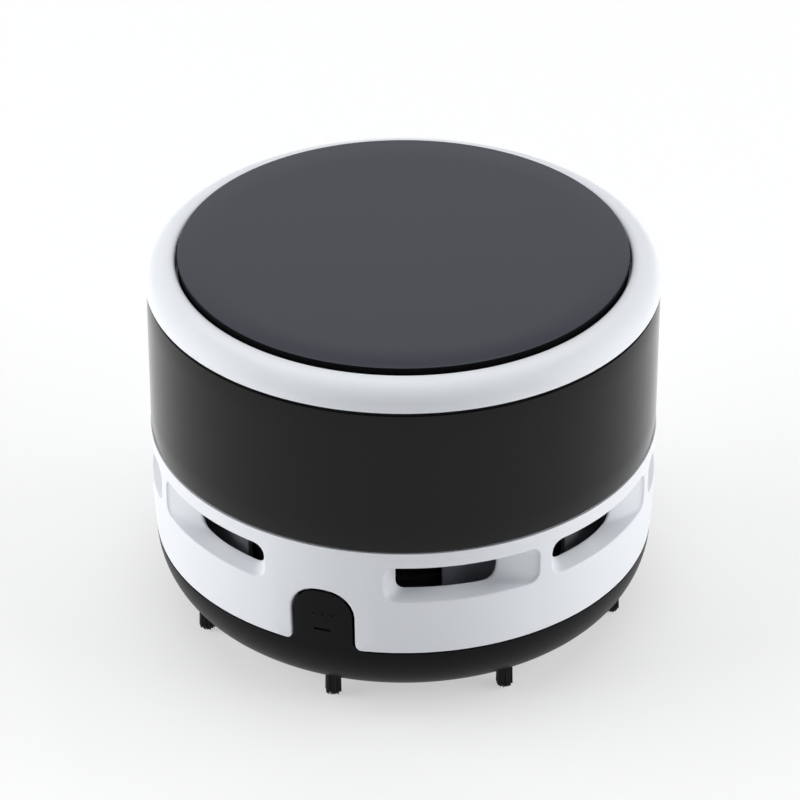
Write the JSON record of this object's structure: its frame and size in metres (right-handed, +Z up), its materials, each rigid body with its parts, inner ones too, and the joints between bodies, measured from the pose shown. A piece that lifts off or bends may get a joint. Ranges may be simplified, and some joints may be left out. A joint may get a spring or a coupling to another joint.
{
  "type": "desktop mini vacuum cleaner",
  "caption": "Round battery desk vacuum for crumbs: press-disc switch on top, scooped side outlets, fan and filter inside, a body that tilts off its dust tray, bristles below.",
  "frame": {"origin": "on the desk, under the centre of the round body", "axes": "+Z up, -Y to the front where the release tab is, +X to the right seen from the front"},
  "size_m": [0.0862, 0.0862, 0.065],
  "materials": {
    "white_plastic": "moulded white plastic, soft gloss",
    "gloss_black": "polished black plastic",
    "satin_black": "satin black plastic",
    "base_black": "black plastic, low gloss",
    "bristle_nylon": "black nylon bristles",
    "shroud_grey": "dark grey moulded plastic",
    "inner_black": "black moulded plastic",
    "filter_cloth": "fine pale mesh",
    "steel": "bright steel",
    "brass": "thin brass sheet",
    "cell_sleeve": "plain sleeve film",
    "red_lead": "red wire insulation",
    "black_lead": "black wire insulation"
  },
  "bodies": {
    "tray": {"dust_tray": "base_black", "bristle_tuft_1": "bristle_nylon", "bristle_tuft_2": "bristle_nylon", "bristle_tuft_3": "bristle_nylon", "bristle_tuft_4": "bristle_nylon", "bristle_tuft_5": "bristle_nylon", "bristle_tuft_6": "bristle_nylon", "bristle_tuft_7": "bristle_nylon", "bristle_tuft_8": "bristle_nylon"},
    "tab": {"release_tab": "base_black"},
    "housing": {"vent_shell": "white_plastic", "band_shell": "gloss_black", "fan_housing": "shroud_grey", "inlet_plate": "inner_black", "filter_frame": "inner_black", "filter_mesh": "filter_cloth", "motor_can": "steel", "motor_end_cap": "inner_black", "motor_terminal_1": "brass", "motor_terminal_2": "brass", "battery_tray": "inner_black", "battery_cell_1": "cell_sleeve", "battery_cell_2": "cell_sleeve", "contact_link": "brass", "contact_positive": "brass", "contact_negative": "brass", "contact_spring_1": "steel", "contact_spring_2": "steel", "switch_body": "inner_black", "deck_screw_1": "steel", "deck_screw_2": "steel", "deck_screw_3": "steel", "deck_screw_4": "steel", "motor_screw_1": "steel", "motor_screw_2": "steel", "lead_cell_to_switch": "red_lead", "lead_switch_to_motor": "red_lead", "lead_motor_to_cell": "black_lead"},
    "fan": {"impeller": "inner_black", "motor_shaft": "steel"},
    "ring": {"top_ring": "white_plastic"},
    "disc": {"power_disc": "satin_black"},
    "plunger": {"switch_plunger": "white_plastic"}
  },
  "joints": [
    {"name": "housing_open", "type": "hinge", "parent": "tray", "child": "housing", "pos_m": [0, 0.0425, 0.0128], "axis": [-1, 0, 0], "range_deg": [0, 30]},
    {"name": "tab_press", "type": "hinge", "parent": "tray", "child": "tab", "pos_m": [0, -0.0415, 0.01295], "axis": [-1, 0, 0], "range_deg": [0, 5], "stiffness_Nm_per_rad": 0.05, "springref_deg": -2.86},
    {"name": "ring_lift", "type": "slide", "parent": "housing", "child": "ring", "axis": [0, 0, 1], "range_m": [0, 0.01]},
    {"name": "power_press", "type": "slide", "parent": "ring", "child": "disc", "axis": [0, 0, -1], "range_m": [0, 0.0015], "stiffness_N_per_m": 600, "springref_m": -0.001},
    {"name": "plunger_press", "type": "slide", "parent": "housing", "child": "plunger", "axis": [0, 0, -1], "range_m": [0, 0.0015]},
    {"name": "fan_spin", "type": "hinge", "parent": "housing", "child": "fan", "pos_m": [0, 0, 0.0274], "axis": [0, 0, 1], "continuous": true}
  ],
  "couplings": [
    {"joint": "plunger_press", "follows": "power_press", "ratio": 1}
  ]
}
